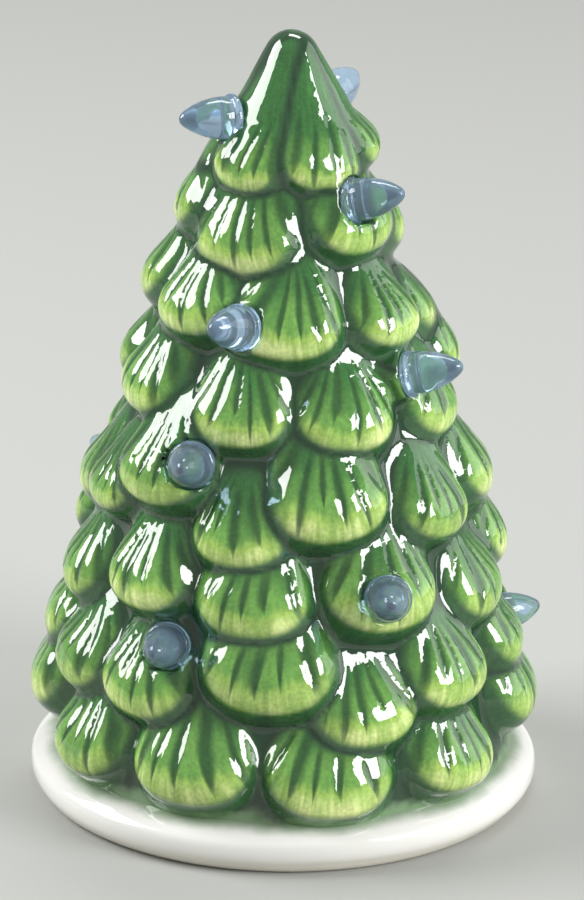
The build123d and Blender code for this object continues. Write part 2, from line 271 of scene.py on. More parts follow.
# The peg's section from the bore's end, round the stem and flange, and up the bulb: how far along
# the section each corner is, its radius and its height over the seat. The bulb's corners are rounded,
# and the seam is closed over PEG_SEAL
PEG_TURN_STEPS = 48
PEG_SECTION_STEPS = 72
PEG_BULB_STEP = 36
PEG_SEAL = 0.005
PEG_SECTION = (
    (0, 0.0, -4.0),
    (2, 0.8, -4.0),
    (8, 0.8, -7.0),
    (10, 1.1, -7.0),
    (12, 1.5, -6.6),
    (20, 1.5, 0.0),
    (24, 4.55, 0.0),
    (27, 4.9, 0.35),
    (30, 4.9, 1.15),
    (33, 4.6, 1.5),
    (36, 4.35, 1.7),
    (41, 4.4, 3.0),
    (46, 4.1, 5.2),
    (52, 3.3, 8.0),
    (58, 2.15, 10.4),
    (63, 1.25, 11.7),
    (68, 0.55, 12.2),
    (72, 0.0, 12.3),
)

# The snow base's section: radius and height from the foot, round the outside to the top, and then
# back down inside
BASE_OUTSIDE = (
    (50.4, 0.0),
    (51.3, 0.35),
    (52.6, 1.5),
    (53.8, 3.2),
    (54.1, 5.0),
    (53.7, 6.9),
    (52.2, 8.3),
    (50.2, 9.3),
    (47.6, 10.1),
    (44.6, 11.0),
)
BASE_INSIDE = (
    (41.5, 11.0),
    (41.2, 7.6),
    (34.2, 7.5),
    (34.0, 7.2),
    (34.0, 4.2),
    (34.2, 4.0),
    (37.9, 4.0),
    (38.0, 0.6),
    (38.6, 0.0),
)
BASE_TURN_STEPS = 320
BASE_CURVE_STEPS = 6

# The base's edge sways in by waves of a height, a count round it and a phase, and its top rises and
# falls. Both die out towards the foot and the inside
BASE_INSET = 0.1
BASE_WAVES = ((1.0, 3, 0.6), (0.6, 5, 2.0), (0.4, 8, 0.0))
BASE_RISE = (0.12, 4)
BASE_RISE_PHASE = 1.0
UNEVEN_LEVELS = (0.2, 2.5)
UNEVEN_RADII = (42, 46)
EDGE_RADII = (46, 52)

# The base stores its gap to the boughs, from GLAZE_OVERLAP inside them to GLAZE_REACH away. Down
# through RAN_LEVELS that grows to GLAZE_REACH everywhere, so the green that ran stops there
GLAZE_REACH = 9.0
GLAZE_OVERLAP = 2.0
RAN_LEVELS = (6.0, 8.5)

# Green glaze: how many streaks there are to a gap between strokes and to a half-width along them,
# and how far they shift from bough to bough. Then the sizes of its patches, slow drifts, specks and
# lumps, how far the lumps rise and the strokes dip, and the heights between which its foot fades,
# raggedly, over the white
STREAKS = (4.0, 1.3, 40.0)
PATCH_SIZE = 6.0
DRIFT_SIZE = 18.0
SPECK_SIZE = 0.8
LUMP_SIZE = 5.0
LUMP_RISE = 0.6
STROKE_DIP = 0.2
FOOT_LEVELS = (12.5, 16.0)
FOOT_RAGGED = 6.0

# White glaze: its lumps, the stain's size, sway and reach, and where cream turns to white
BASE_LUMP_SIZE = 11.0
BASE_LUMP_RISE = 0.8
STAIN_SIZE = 9.0
STAIN_SWAY = 3.0
STAIN_REACH = 3.2
CREAM_LEVELS = (0.5, 5.0)

# Clear plastic: the size of its patches of haze, and its roughness in and out of them
HAZE_SIZE = 2.0
HAZE_ROUGHNESS = (0.04, 0.1)

# Worked surfaces: their colour drifts over this many grains, down to this share of its brightness,
# and their roughness changes by this share
DRIFT_GRAINS = 12
DARK_SHARE = 0.86
GLOSS_CHANGE = 0.15

# Most of a noise's values lie in this range
NOISE_RANGE = (0.3, 0.7)

# The light unit's finishes: slot, material, colour, roughness, grain, metal and depth of grain
UNIT_FINISHES = (
    # Moulded plastic: an even satin white
    ("plug_plastic", "moulded_white_plastic", "#E4E3DE", 0.42, 0.5, 0.0, 0.05),
    # Rolled steel: cool grey, and softly mirrored
    ("cell_steel", "rolled_steel", "#C9C9C6", 0.28, 0.3, 1.0, 0.01),
    # Stamped brass: warm yellow, and softly mirrored
    ("contact_brass", "stamped_brass", "#C9A24F", 0.3, 0.3, 1.0, 0.01),
    # Lacquered laminate: deep green with a half gloss
    ("board_laminate", "green_laminate", "#1F5A34", 0.35, 0.4, 0.0, 0.05),
    # Cast epoxy, drawn solid: pale, smooth and glossy
    ("lamp_epoxy", "clear_epoxy", "#F2F0E2", 0.12, 1.0, 0.0, 0.01),
    # Plated steel: a darker grey than the cells
    ("switch_steel", "plated_steel", "#B9B9B8", 0.3, 0.3, 1.0, 0.01),
    # Moulded plastic: satin black
    ("switch_plastic", "black_plastic", "#1C1C1D", 0.45, 0.4, 0.0, 0.05),
    # Extruded vinyl: dull red
    ("wire_insulation", "red_wire_insulation", "#8E2620", 0.4, 0.4, 0.0, 0.05),
)

# Studio, in metres and watts: each soft box's place, size and power, and what they all face
FLOOR_HALF = 3.0
SOFT_BOXES = (
    ("left_box", (-0.94, 0.10, 0.72), (0.72, 0.62), 15.5),
    ("right_box", (1.00, -0.60, 0.60), (0.57, 0.62), 15.5),
    ("top_box", (0.15, 0.54, 1.16), (0.66, 0.27), 6.0),
    ("right_wall", (1.30, 0.30, 0.55), (1.20, 1.00), 6.5),
)
LIGHT_TARGET = (0, 0, 0.08)
SURROUND_STRENGTH = 0.7

# Camera: millimetres on its sensor and on the tree, degrees, and metres from its target
SENSOR_WIDTH = 36
LENS = 209.7
CAMERA_RISE = math.radians(19.62)
CAMERA_ROLL = math.radians(0.746)
CAMERA_DISTANCE = 1.1
CAMERA_TARGET = (1.16, 0, 74.0)
CLIP_END = 20


def linear(code):
    """An sRGB hex code as linear red, green, blue and alpha."""
    parts = [int(code[i : i + 2], 16) / 255 for i in (1, 3, 5)]
    return [c / 12.92 if c <= 0.04045 else ((c + 0.055) / 1.055) ** 2.4 for c in parts] + [1.0]


def smooth(low, high, value):
    """0 below low, 1 above high and an S-curve between them."""
    share = np.clip((value - low) / (high - low), 0, 1)
    return share * share * (3 - 2 * share)


def wave(form, place, phase):
    """A sine wave of a height and a pace."""
    height, pace = form
    return height * np.sin(pace * place + phase)


def around(angle, radius, height):
    """A point at an angle round the tree, in degrees from the front."""
    turn = math.radians(angle)
    return np.array([radius * math.sin(turn), -radius * math.cos(turn), height])


def within(points, centre, reach):
    """The numbers of the points that are within reach of a centre."""
    return np.flatnonzero(((points - centre) ** 2).sum(1) < reach**2)


class Bough:
    """One bough: its place, its directions (across, out of its face, along it) and its own chance."""

    def __init__(self, angle, reach, height, radius, form, chance):
        droop, self.taper, self.root = form
        self.radius = radius
        self.fan = self.root + FAN_RISE
        self.span = radius * (self.root + 1) + BOUGH_MARGIN
        down = math.radians(droop + chance.uniform(-DROOP_CHANGE, DROOP_CHANGE))
        stretch = math.hypot(TIP * math.cos(down), FACE_THICKNESS * math.sin(down))
        drop = (TIP**2 - FACE_THICKNESS**2) * math.sin(down) * math.cos(down) / stretch
        self.centre = around(angle, reach - radius * stretch, height + radius * drop)
        outward, up = around(angle, 1, 0), np.array([0, 0, 1.0])
        along = outward * math.cos(down) - up * math.sin(down)
        face = outward * math.sin(down) + up * math.cos(down)
        across = np.cross(face, along)
        yaw = math.radians(chance.uniform(-YAW_CHANGE, YAW_CHANGE))
        turned_across = across * math.cos(yaw) + along * math.sin(yaw)
        turned_along = along * math.cos(yaw) - across * math.sin(yaw)
        self.axes = np.array([turned_across, face, turned_along])
        self.phases = chance.uniform(0, 2 * math.pi, 4)
        self.offset = chance.uniform(-0.5, 0.5)

    def local(self, points):
        """Points in the bough's own directions, in half-widths."""
        return (points - self.centre) @ self.axes.T / self.radius

    def distance(self, local):
        """About how far a point is outside the bough: a broad pillow with a blunt tip and a domed top."""
        across, out, along = local.T
        width = np.clip(1 + np.minimum(along, 0) * self.taper, NARROWEST, 1)
        ends = np.where(along > 0, along / TIP, np.minimum(along + self.root, 0) / TOP)
        plan = (np.abs(across / width) ** PLAN_POWER + np.abs(ends) ** PLAN_POWER) ** (1 / PLAN_POWER)
        depth = np.abs(out) / FACE_THICKNESS
        return ((plan**PILLOW + depth**PILLOW) ** (1 / PILLOW) - 1) * self.radius * PILLOW_SLOPE

    def needles(self, local):
        """Which stroke of the fan a point is on, and how far over the bough's uneven lip it is."""
        across, along = local[:, 0], local[:, 2] + self.fan
        turn = np.arctan2(across, along) * (self.fan + TIP) / NEEDLE_GAP
        length = np.hypot(across, along)
        bend, lip, fine_lip, gather = self.phases
        stroke = turn + self.offset + wave(BEND_WAVE, length, bend) + wave(GATHER_WAVE, turn, gather)
        over = self.fan + TIP - length + wave(LIP_WAVE, turn, lip) + wave(FINE_LIP_WAVE, turn, fine_lip)
        return stroke, over


def all_boughs():
    """Every bough, the front ones from the table and the far ones spread evenly between them."""
    chance = np.random.default_rng(CHANCE_SEED)
    boughs = []
    for (height, reach, width, form, far), front in TIERS:
        tier_width = BOUGH_WIDTH * width
        first, last = front[0][0], front[-1][0]
        spacing = (360 + first - last) / (far + 1)
        fill = BACK_FILL * math.radians(spacing) * RIM_RADIUS * reach / tier_width
        back = [(last + i * spacing, BACK_LIFT * (-1) ** i, fill) for i in range(1, far + 1)]
        for angle, lift, breadth in [*front, *back]:
            level = TREE_HEIGHT * height + tier_width * lift - SETTLE
            half_width = tier_width * breadth / 2
            boughs.append(Bough(angle, RIM_RADIUS * reach, level, half_width, form, chance))
    return boughs


def peg_places():
    """Each peg's body, seat point (mm) and direction, read from its joint and its CAD node."""
    places = []
    for joint in frame["joints"]:
        if not joint["child"].startswith("light_peg"):
            continue
        direction = np.array(joint["axis"], float)
        direction /= np.linalg.norm(direction)
        mesh = frame["nodes"][joint["child"]].data
        corners = np.array([v.co for v in mesh.vertices]) / MM
        run = corners @ direction
        middle = corners - np.outer(run, direction)
        axis_point = (middle.max(0) + middle.min(0)) / 2
        seat = axis_point + direction * (run.max() - PEG_FLANGE - PEG_BULB)
        places.append((joint["child"], seat, direction))
    return places


BOUGHS = all_boughs()
PEGS = peg_places()


def core_distance(points):
    """How far a point is outside the core, which ends in a small dome at the apex."""
    radial = np.hypot(points[:, 0], points[:, 1])
    rise = points[:, 2] - DOME_HEIGHT
    side = (radial - np.interp(points[:, 2], *zip(*CORE))) * math.cos(CONE_ANGLE)
    return np.where(rise > 0, np.hypot(radial, rise) - APEX_RADIUS, side)


def cap_distance(points):
    """How far a point is outside the cone that trims the cap."""
    radial = np.hypot(points[:, 0], points[:, 1])
    rise = points[:, 2] - TREE_HEIGHT + CAP_DOME
    cone = radial * math.cos(CAP_ANGLE) + rise * math.sin(CAP_ANGLE) - CAP_DOME
    on_dome = rise * math.cos(CAP_ANGLE) > radial * math.sin(CAP_ANGLE)
    trim = np.where(on_dome, np.hypot(radial, rise) - CAP_DOME, cone)
    return trim - CAP_FLARE * np.maximum(CAP_FLOOR - points[:, 2], 0)


def seat_distances(points, seat, direction):
    """How far points are outside the boss under a peg, and outside what is cut away for the peg."""
    offset = points - seat
    run = offset @ direction
    radial = np.linalg.norm(offset - np.outer(run, direction), axis=1)
    boss = np.maximum.reduce([radial - SEAT_RADIUS, run, -run - BOSS_LENGTH])
    spot = np.maximum.reduce([radial - SEAT_RADIUS, -run, run - SEAT_LENGTH])
    hole = np.maximum.reduce([radial - HOLE_RADIUS, -run - HOLE_DEPTH, run - HOLE_OVERRUN])
    return boss, np.minimum(spot, hole)


def tree_field(points):
    """The casting at points: its skin's distance, the nearest bough, its distance and the next one's."""
    core = np.maximum(core_distance(points), -CORE_DEPTH)
    total = np.exp(-core / CREASE_FILL)
    first, second = core.copy(), np.full(len(points), NO_NEIGHBOUR)
    owner = np.full(len(points), -1)
    for index, bough in enumerate(BOUGHS):
        near = within(points, bough.centre, bough.span)
        gap = bough.distance(bough.local(points[near]))
        total[near] += np.exp(-gap / CREASE_FILL)
        closer = gap < first[near]
        second[near] = np.where(closer, first[near], np.minimum(second[near], gap))
        first[near] = np.where(closer, gap, first[near])
        owner[near[closer]] = index
    cuts = []
    for _, seat, direction in PEGS:
        near = within(points, seat, SEAT_LENGTH + SEAT_MARGIN)
        boss, cut = seat_distances(points[near], seat, direction)
        total[near] += np.exp(-boss / CREASE_FILL)
        cuts.append((near, cut))
    skin = -CREASE_FILL * np.log(total)
    skin = CREASE_FILL * np.logaddexp(skin / CREASE_FILL, cap_distance(points) / CREASE_FILL)
    for near, cut in cuts:
        skin[near] = np.maximum(skin[near], -cut)
    return skin, owner, first, second


def ripple(points):
    """Slow unevenness of a hand-poured casting, about -1 to 1."""
    return sum(np.sin(points @ np.array(pace) + phase) for pace, phase in RIPPLE_WAVES) / len(RIPPLE_WAVES)


def needle_relief(stroke, over, chance):
    """0 on plain glaze to 1 at the middle of a needle stroke. Strokes side by side differ in width."""
    nearest = np.round(stroke)
    side = np.abs(stroke - nearest)
    mean, change = CUT_WIDTH
    broad = mean + change * np.sin(STROKE_PACE * nearest + BOUGH_PACE * chance)
    width = broad * smooth(*STROKE_OPENS, over) * (1 - smooth(*STROKE_CLOSES, over)) + HAIRLINE
    ends = smooth(*STROKE_STARTS, over) * (1 - smooth(*STROKE_STOPS, over))
    return (1 - smooth(0.0, 1.0, side / width)) * ends


def carved(points):
    """The skin's distance with its needle strokes cut in, and the values that the glaze reads."""
    skin, owner, first, second = tree_field(points)
    local, needle = np.zeros_like(points), np.zeros_like(points)
    for index, bough in enumerate(BOUGHS):
        mine = np.flatnonzero(owner == index)
        local[mine] = bough.local(points[mine])
        needle[mine, 0], needle[mine, 1] = bough.needles(local[mine])
        needle[mine, 2] = bough.offset
    crease = np.exp(-(second - first) / CREASE_REACH)
    crease[owner < 0] = 1
    across, out, along = local.T
    face = smooth(*FACE_OUT, out) * (1 - crease)
    edge = smooth(*RIM_EDGE, np.hypot(across, np.maximum(along, 0) / TIP))
    rim = edge * smooth(*RIM_ALONG, along) * smooth(*RIM_OUT, out)
    relief = needle_relief(*needle.T) * face
    values = {"needle": needle, "face": face, "rim": rim, "crease": crease}
    return skin - RIPPLE * ripple(points) + NEEDLE_DEPTH * relief, values


def slope(points, step):
    """The way out of the skin at each point, over a step to either side."""
    ways = np.eye(3) * step
    rise = np.stack([carved(points + way)[0] - carved(points - way)[0] for way in ways], 1)
    return rise / np.maximum(np.linalg.norm(rise, axis=1, keepdims=True), 1e-9)


def at_corner(values, corner):
    """A grid's values at one corner of each of its cells."""
    return values[tuple(slice(c, size - 1 + c) for c, size in zip(corner, values.shape))]


def crossing_points(field, active):
    """For each active cell, in cells: the middle of the places where the skin crosses its edges."""
    values = {corner: at_corner(field, corner)[active] for corner in CELL_CORNERS}
    place, crossings = np.zeros((active.sum(), 3)), np.zeros(active.sum())
    for low in CELL_CORNERS:
        for axis in range(3):
            if low[axis]:
                continue
            high = tuple(1 if i == axis else low[i] for i in range(3))
            cut = (values[low] < 0) != (values[high] < 0)
            at = np.repeat(np.array([low], float), cut.sum(), 0)
            at[:, axis] = values[low][cut] / (values[low][cut] - values[high][cut])
            place[cut] += at
            crossings[cut] += 1
    return np.argwhere(active) + place / crossings[:, None]


def crossing_faces(inside, number):
    """A face for each grid edge that crosses the skin, between the points of the four cells round it."""
    faces = []
    for axis, sides in enumerate(([1, 2], [2, 0], [0, 1])):
        low = np.take(inside, range(inside.shape[axis] - 1), axis)
        high = np.take(inside, range(1, inside.shape[axis]), axis)
        last = [inside.shape[side] - 1 for side in sides]
        for inward, edges in ((False, low & ~high), (True, high & ~low)):
            at = np.argwhere(edges)
            at = at[((at[:, sides] > 0) & (at[:, sides] < last)).all(1)]
            quad = []
            for back in ((1, 1), (0, 1), (0, 0), (1, 0)):
                cell = at.copy()
                cell[:, sides] -= back
                quad.append(number[tuple(cell.T)])
            quad = np.stack(quad, 1)
            faces.append(quad[:, ::-1] if inward else quad)
    return np.concatenate(faces)


def surface_net(step):
    """A mesh of the tree's skin: one point in each grid cell that the skin crosses. Its bottom is open."""
    half = RIM_RADIUS + GRID_MARGIN * step
    xs = np.arange(-half, half + step, step)
    zs = np.arange(SKIN_FLOOR, TREE_HEIGHT + GRID_MARGIN * step, step)
    grid = np.stack(np.meshgrid(xs, xs, zs, indexing="ij"), -1)
    shape = grid.shape[:3]
    grid = grid.reshape(-1, 3)
    field = tree_field(grid)[0]
    near = np.flatnonzero(np.abs(field) < CARVED_REACH * step)
    field[near] = carved(grid[near])[0]
    field = field.reshape(shape)
    inside = field < 0
    held = sum(at_corner(inside, corner).astype(np.int8) for corner in CELL_CORNERS)
    active = (held > 0) & (held < len(CELL_CORNERS))
    number = np.full(active.shape, -1)
    number[active] = np.arange(active.sum())
    origin = np.array([xs[0], xs[0], zs[0]])
    return crossing_points(field, active) * step + origin, crossing_faces(inside, number)


def drawn_on(points):
    """Points moved onto the carved skin, in two short moves."""
    for _ in range(2):
        normal = slope(points, SLOPE_STEP)
        here = carved(points)[0]
        rate = (carved(points + normal * RATE_STEP)[0] - here) / RATE_STEP
        move = np.clip(here / np.maximum(rate, LEAST_RATE), -LONGEST_MOVE, LONGEST_MOVE)
        points = points - normal * move[:, None]
    return points


def make_mesh(name, points, faces, values):
    """A mesh in metres, smooth, with its named values at the corners."""
    mesh = bpy.data.meshes.new(name)
    mesh.from_pydata((points * MM).tolist(), [], faces)
    for key, value in values.items():
        kind, field = ("FLOAT_VECTOR", "vector") if value.ndim == 2 else ("FLOAT", "value")
        layer = mesh.attributes.new(key, kind, "POINT")
        layer.data.foreach_set(field, value.astype(np.float32).ravel())
    mesh.shade_smooth()
    thing = bpy.data.objects.new(name, mesh)
    bpy.context.scene.collection.objects.link(thing)
    return thing


def edge_loop(faces):
    """The corners of the one open edge, in order, running as the faces beside it do."""
    edges = np.concatenate([faces[:, [i, (i + 1) % 4]] for i in range(4)])
    both = {tuple(e) for e in edges.tolist()}
    following = {a: b for a, b in both if (b, a) not in both}
    start = min(following)
    loop = [start]
    while following[loop[-1]] != start:
        loop.append(following[loop[-1]])
    return loop


def hollow_rings(edge):
    """Rings up the cone of the hollow, with a point at the turn of each point of the skin's open edge."""
    turns = np.arctan2(edge[:, 0], -edge[:, 1])
    rising = np.linspace(SKIRT_HEIGHT + HOLLOW_START, TREE_HEIGHT - CROWN, HOLLOW_RINGS)
    rings = []
    for level in [SKIN_FLOOR, *rising]:
        drop = (level - DOME_HEIGHT) * math.sin(CONE_ANGLE)
        radius = (APEX_RADIUS - drop) / math.cos(CONE_ANGLE) - WALL
        heights = np.full(len(turns), level)
        rings.append(np.stack([radius * np.sin(turns), -radius * np.cos(turns), heights], 1))
    return rings


def tree_boughs():
    """The green casting: its carved skin, closed by the cone of its hollow inside."""
    points, faces = surface_net(GRID_STEP)
    points = drawn_on(points)
    values = carved(points)[1]
    normal = slope(points, SHADING_STEP)
    skin_count = len(points)
    below = np.array(edge_loop(faces))
    rings = hollow_rings(points[below])
    bands = []
    for ring in range(len(rings)):
        above = skin_count + ring * len(below) + np.arange(len(below))
        bands.append(np.stack([np.roll(below, -1), below, above, np.roll(above, -1)], 1))
        below = above
    points = np.concatenate([points, *rings, [[0, 0, TREE_HEIGHT - CROWN + HOLLOW_TIP]]])
    tip = len(points) - 1
    roof = [(int(b), int(a), tip) for a, b in zip(below, np.roll(below, -1))]
    added = len(points) - skin_count
    for key, value in values.items():
        bare = np.full((added, *value.shape[1:]), float(key == "crease"))
        values[key] = np.concatenate([value, bare])
    casting = make_mesh("tree_boughs", points, np.concatenate([faces, *bands]).tolist() + roof, values)
    shading = np.concatenate([normal, np.zeros((added, 3))])
    casting.data.normals_split_custom_set_from_vertices(shading.tolist())
    return casting


def through(corners, steps):
    """A smooth line through the corners."""
    corners = np.array(corners, float)
    ends = np.concatenate([[2 * corners[0] - corners[1]], corners, [2 * corners[-1] - corners[-2]]])
    line = []
    for a, b, c, d in zip(ends, ends[1:], ends[2:], ends[3:]):
        for t in np.arange(steps) / steps:
            line.append(b + 0.5 * t * (c - a + t * (2 * a - 5 * b + 4 * c - d + t * (3 * (b - c) + d - a))))
    return np.array([*line, corners[-1]])


def snow_base():
    """The white base ring, slightly uneven. It stores how near the boughs are, for the glaze that ran."""
    section = np.concatenate([through(BASE_OUTSIDE, BASE_CURVE_STEPS), np.array(BASE_INSIDE)])
    turns = np.arange(BASE_TURN_STEPS)[:, None] * 2 * math.pi / BASE_TURN_STEPS
    radius, level = section.T[:, None, :]
    sway = sum(wave((height, count), turns, phase) for height, count, phase in BASE_WAVES)
    most = sum(height for height, _, _ in BASE_WAVES)
    uneven = smooth(*UNEVEN_LEVELS, level) * smooth(*UNEVEN_RADII, radius)
    radius = radius - BASE_INSET * (sway + most) * uneven * smooth(*EDGE_RADII, radius)
    level = level + wave(BASE_RISE, turns, BASE_RISE_PHASE) * uneven
    points = np.stack([radius * np.sin(turns), -radius * np.cos(turns), level], -1)
    number = np.arange(level.size).reshape(level.shape)
    aside, ahead = np.roll(number, -1, 0), np.roll(number, -1, 1)
    faces = np.stack([number, aside, np.roll(aside, -1, 1), ahead], -1).reshape(-1, 4)
    points = points.reshape(-1, 3)
    gap = np.clip(tree_field(points)[0], -GLAZE_OVERLAP, GLAZE_REACH)
    gap = GLAZE_REACH + (gap - GLAZE_REACH) * smooth(*RAN_LEVELS, points[:, 2])
    return make_mesh("snow_base", points, faces.tolist(), {"bough_gap": gap})


# Kinds of node that are used often, and their usual settings. A Mix node's colours are its inputs
# COLOUR_A and COLOUR_B and its output COLOUR_OUT. FALL makes a range run from 1 down to 0
MATH = "ShaderNodeMath"
RANGE = "ShaderNodeMapRange"
MIX = "ShaderNodeMix"
NOISE = "ShaderNodeTexNoise"
BUMP = "ShaderNodeBump"
S_CURVE = {"interpolation_type": "SMOOTHSTEP"}
COLOUR_A, COLOUR_B, COLOUR_OUT = 6, 7, 2
FALL = (1.0, 0.0)


def connect(tree, node, inputs):
    """Sets or links a node's inputs, by name or number."""
    for key, value in inputs.items():
        if isinstance(value, bpy.types.NodeSocket):
            tree.links.new(value, node.inputs[key])
        else:
            node.inputs[key].default_value = value


def add(tree, kind, inputs=(), output=0, **settings):
    """Adds a node with its settings and its inputs, in order or by name, and gives one of its outputs."""
    node = tree.nodes.new(kind)
    for key, value in settings.items():
        setattr(node, key, value)
    connect(tree, node, inputs if isinstance(inputs, dict) else dict(enumerate(inputs)))
    return node.outputs[output] if len(node.outputs) else None


def shader(name):
    """A material with a Principled shader: (material, node tree, shader node)."""
    material = bpy.data.materials.new(name)
    material.use_nodes = True
    tree = material.node_tree
    return material, tree, tree.nodes["Principled BSDF"]


def blobs(size):
    """The scale of a noise whose blobs are about that many millimetres."""
    return 1 / (size * MM)


def stroke_share(tree, stroke, over, chance, face):
    """0 on plain glaze to 1 in a needle stroke's dark glaze and painted shade, as needle_relief cuts them but a
    little wider.
    """
    nearest = add(tree, MATH, (stroke,), operation="ROUND")
    side = add(tree, MATH, (stroke, nearest), operation="SUBTRACT")
    side = add(tree, MATH, (side,), operation="ABSOLUTE")
    phase = add(tree, MATH, (chance, BOUGH_PACE), operation="MULTIPLY")
    phase = add(tree, MATH, (nearest, STROKE_PACE, phase), operation="MULTIPLY_ADD")
    mean, change = STROKE_GLAZE_AND_SHADE_WIDTH
    broad = add(tree, MATH, (phase,), operation="SINE")
    broad = add(tree, MATH, (broad, change, mean), operation="MULTIPLY_ADD")
    opens = add(tree, RANGE, (over, *STROKE_OPENS), **S_CURVE)
    closes = add(tree, RANGE, (over, *STROKE_CLOSES, *FALL), **S_CURVE)
    swell = add(tree, MATH, (opens, closes), operation="MULTIPLY")
    width = add(tree, MATH, (swell, broad, HAIRLINE), operation="MULTIPLY_ADD")
    across = add(tree, MATH, (side, width), operation="DIVIDE")
    share = add(tree, RANGE, (across, *EDGE_OF_STROKE_GLAZE_AND_SHADE, *FALL), **S_CURVE)
    starts = add(tree, RANGE, (over, *STROKE_STARTS), **S_CURVE)
    stops = add(tree, RANGE, (over, *STROKE_STOPS, *FALL), **S_CURVE)
    for limit in (starts, stops, face):
        share = add(tree, MATH, (share, limit), operation="MULTIPLY")
    return share


def green_glaze():
    """Green stoneware glaze: a wet, glassy coat that breaks yellow-green where it runs thin on the
    lower rims, and pools dark green in the needle strokes and the creases. Painted shade there and under each lip
    darkens it almost to black-green."""
    material, tree, surface = shader("green_stoneware_glaze")
    place = add(tree, "ShaderNodeTexCoord", output="Object")
    needle = add(tree, "ShaderNodeAttribute", output="Vector", attribute_name="needle")
    stroke, over, chance = add(tree, "ShaderNodeSeparateXYZ", (needle,)).node.outputs
    face = add(tree, "ShaderNodeAttribute", output="Fac", attribute_name="face")
    rim = add(tree, "ShaderNodeAttribute", output="Fac", attribute_name="rim")
    crease = add(tree, "ShaderNodeAttribute", output="Fac", attribute_name="crease")
    stroke = stroke_share(tree, stroke, over, chance, face)

    # Streaks along the strokes and patches shift where the glaze thins, and slow drifts turn whole
    # boughs lighter or darker
    grain = add(tree, "ShaderNodeVectorMath", (needle, STREAKS), operation="MULTIPLY")
    streak = add(tree, NOISE, {"Vector": grain, "Scale": 1.0, "Detail": 4.0})
    patch = add(tree, NOISE, {"Vector": place, "Scale": blobs(PATCH_SIZE), "Detail": 1.5})
    drift = add(tree, NOISE, {"Vector": place, "Scale": blobs(DRIFT_SIZE), "Detail": 1.0})
    drift = add(tree, MATH, (drift, 0.5), operation="SUBTRACT")
    wander = add(tree, MATH, (streak, patch), operation="ADD")
    wander = add(tree, MATH, (wander, 1.0), operation="SUBTRACT")
    run = add(tree, MATH, (wander, 0.9, over), operation="MULTIPLY_ADD")
    wander = add(tree, MATH, (drift, 1.1, wander), operation="MULTIPLY_ADD")
    thin = add(tree, MATH, (wander, 0.8, rim), operation="MULTIPLY_ADD")

    # Each coat's share and colour, over the deep green at the boughs' tops: down the face, thin
    # glaze, the palest lip, painted shade under each lip and in the creases, and the strokes' dark glaze with
    # painted shade
    body = linear("#336832")
    for share, colour in (
        (add(tree, RANGE, (run, 1.6, 0.3), **S_CURVE), "#699A48"),
        (add(tree, RANGE, (thin, 0.25, 0.85), **S_CURVE), "#98B95A"),
        (add(tree, RANGE, (thin, 0.8, 1.4), **S_CURVE), "#D2DD93"),
        # Painted shade: darker green under each lip and in the creases, where the face ends
        (add(tree, RANGE, (face, 0.1, 0.9, *FALL), **S_CURVE), "#315B35"),
        # Dark glaze pooled in the strokes, with painted shade darkest at their middles
        (add(tree, MATH, (stroke, 0.9), operation="MULTIPLY"), "#1E4824"),
    ):
        inputs = {"Factor": share, COLOUR_A: body, COLOUR_B: linear(colour)}
        body = add(tree, MIX, inputs, COLOUR_OUT, data_type="RGBA")

    # Specks and streaks, with the slow drifts, lighten and darken the whole
    speck = add(tree, NOISE, {"Vector": place, "Scale": blobs(SPECK_SIZE), "Detail": 3.0})
    speck = add(tree, MATH, (speck, streak), operation="ADD")
    speck = add(tree, RANGE, (speck, 0.65, 1.35, 0.8, 1.2), **S_CURVE)
    speck = add(tree, MATH, (drift, 0.45, speck), operation="MULTIPLY_ADD")
    body = add(tree, "ShaderNodeVectorMath", {0: body, "Scale": speck}, operation="SCALE")

    # The creases, darker for pooled glaze and painted shade, then the paler foot where the green thins over the
    # white base
    level = add(tree, "ShaderNodeSeparateXYZ", (place,), "Z")
    ragged = add(tree, NOISE, {"Vector": place, "Scale": blobs(LUMP_SIZE), "Detail": 2.0})
    foot = add(tree, MATH, (ragged, FOOT_RAGGED * MM, level), operation="MULTIPLY_ADD")
    fades = [height * MM for height in FOOT_LEVELS]
    for share, colour in (
        # Pooled glaze with painted shade, almost black-green, in the creases
        (add(tree, RANGE, (crease, 0.3, 0.95), **S_CURVE), "#193A22"),
        (add(tree, RANGE, (foot, *fades, 0.75, 0.0), **S_CURVE), "#7E9F73"),
    ):
        inputs = {"Factor": share, COLOUR_A: body, COLOUR_B: linear(colour)}
        body = add(tree, MIX, inputs, COLOUR_OUT, data_type="RGBA")

    # The coat lies over soft lumps, and only the colour under it dips into the strokes
    lumps = add(tree, BUMP, {"Height": ragged, "Strength": 0.15, "Distance": LUMP_RISE * MM})
    dip = add(tree, MATH, (stroke, -1.0), operation="MULTIPLY")
    inputs = {"Height": dip, "Strength": 0.3, "Distance": STROKE_DIP * MM, "Normal": lumps}
    cut = add(tree, BUMP, inputs)
    connect(tree, surface, {"Base Color": body, "Normal": cut, "Coat Normal": lumps})
    connect(tree, surface, {"Roughness": 0.2, "Specular IOR Level": 0.0})
    connect(tree, surface, {"Coat Weight": 1.0, "Coat Roughness": 0.03, "Coat IOR": 1.7})
    return material


